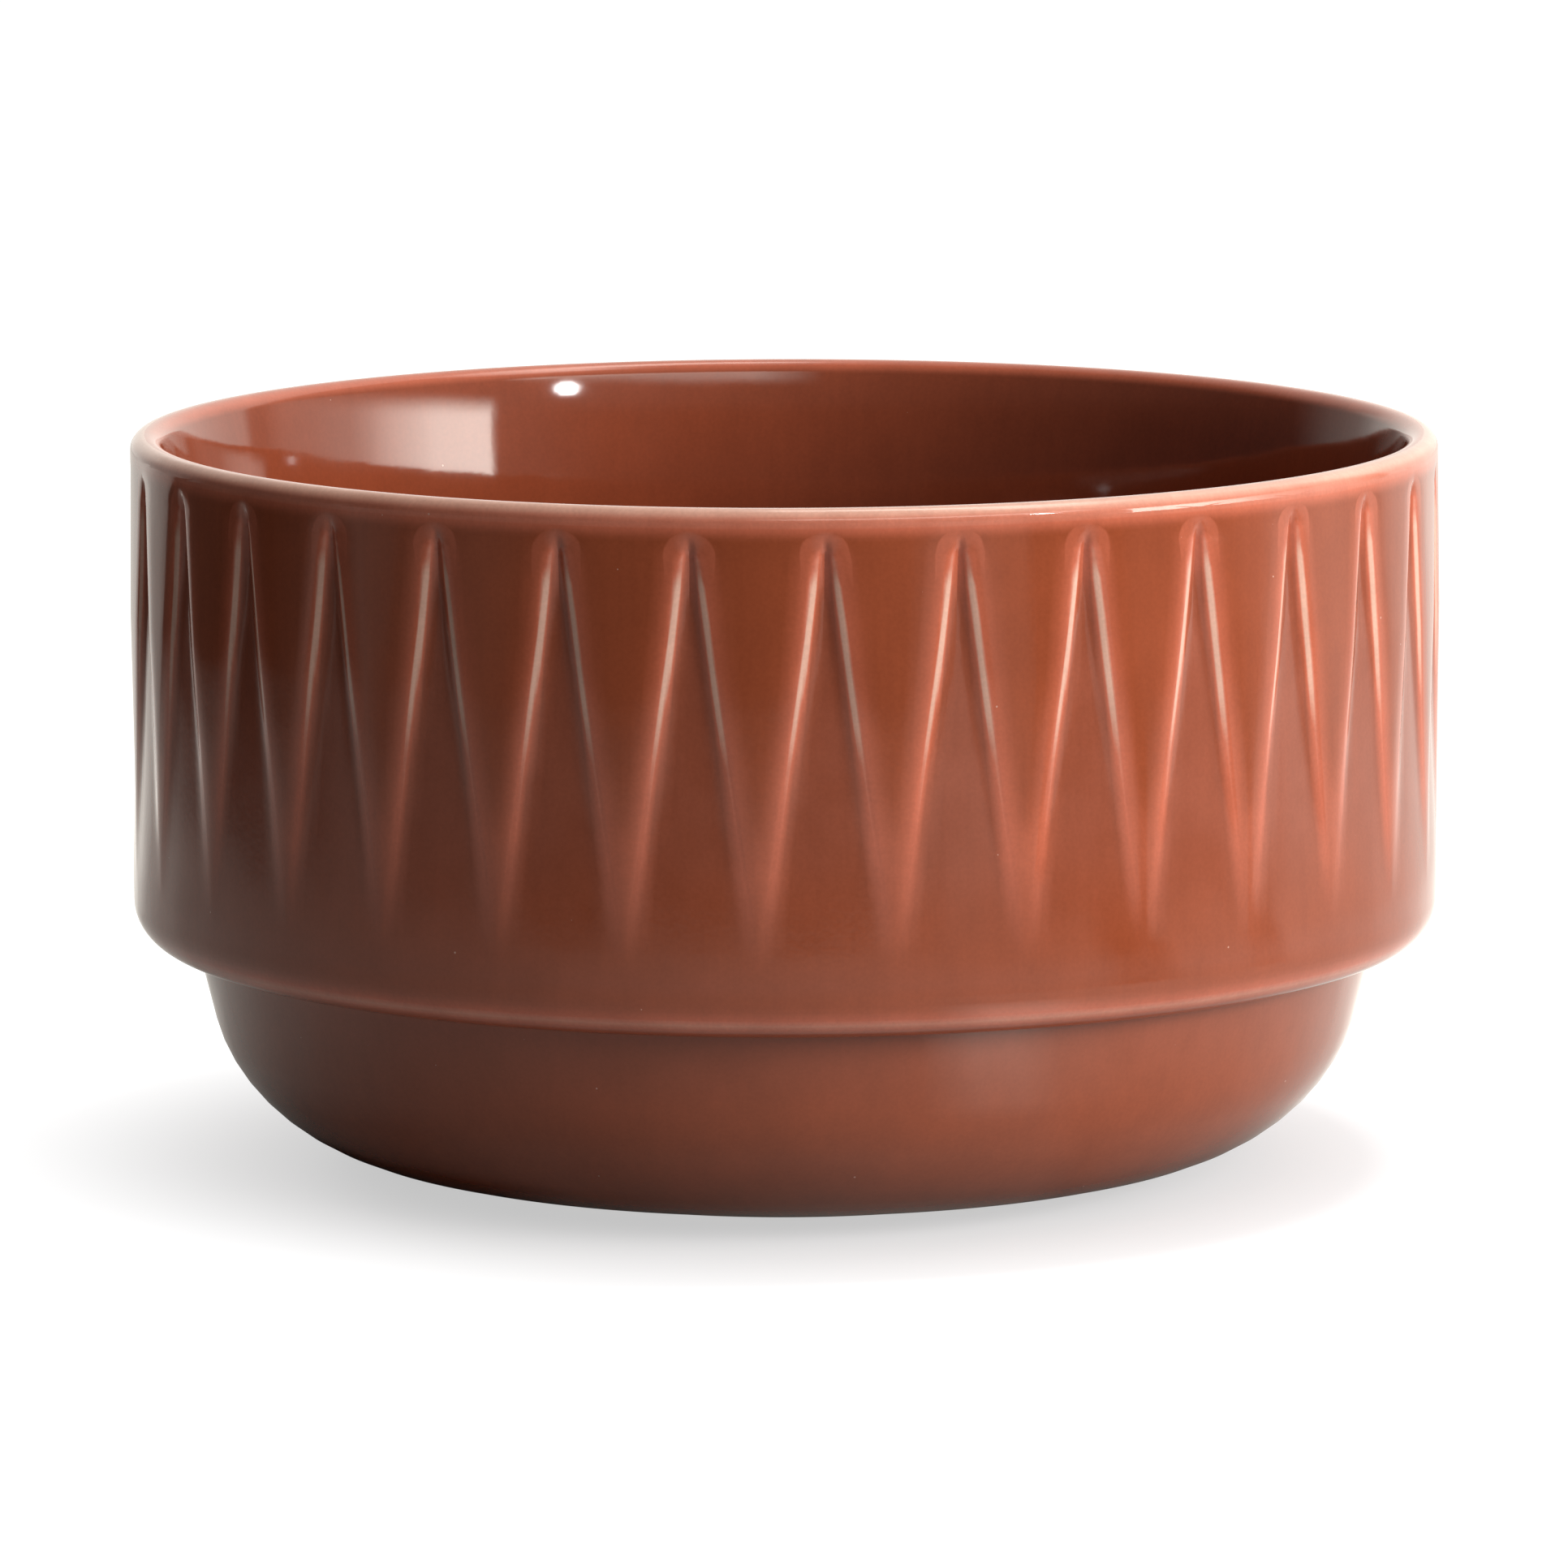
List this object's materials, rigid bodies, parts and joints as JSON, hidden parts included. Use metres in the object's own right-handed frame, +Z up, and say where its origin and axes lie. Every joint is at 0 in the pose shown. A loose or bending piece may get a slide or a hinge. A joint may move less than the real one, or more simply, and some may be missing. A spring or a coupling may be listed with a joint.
{
  "type": "bowl",
  "caption": "Round stacking bowl in glossy terracotta-coloured glazed stoneware: a straight band with pressed triangular darts over a narrower rounded basin on a bare foot ring.",
  "frame": {"origin": "centre of the foot ring's contact circle, on the table", "axes": "+Z up along the bowl's axis; -Y faces the camera of the picture, +X to its right"},
  "size_m": [0.14, 0.14, 0.0785],
  "materials": {
    "bare_stoneware": "matt fired clay, fine grog",
    "terracotta_glaze": "glossy glaze that breaks to peach on ridges and rim",
    "inner_terracotta_glaze": "glossy glaze",
    "base_terracotta_glaze": "glossy glaze, slightly pooled"
  },
  "bodies": {
    "root": {"stoneware_body": "bare_stoneware", "outer_glaze": "terracotta_glaze", "inner_glaze": "inner_terracotta_glaze", "base_glaze": "base_terracotta_glaze"}
  },
  "joints": []
}
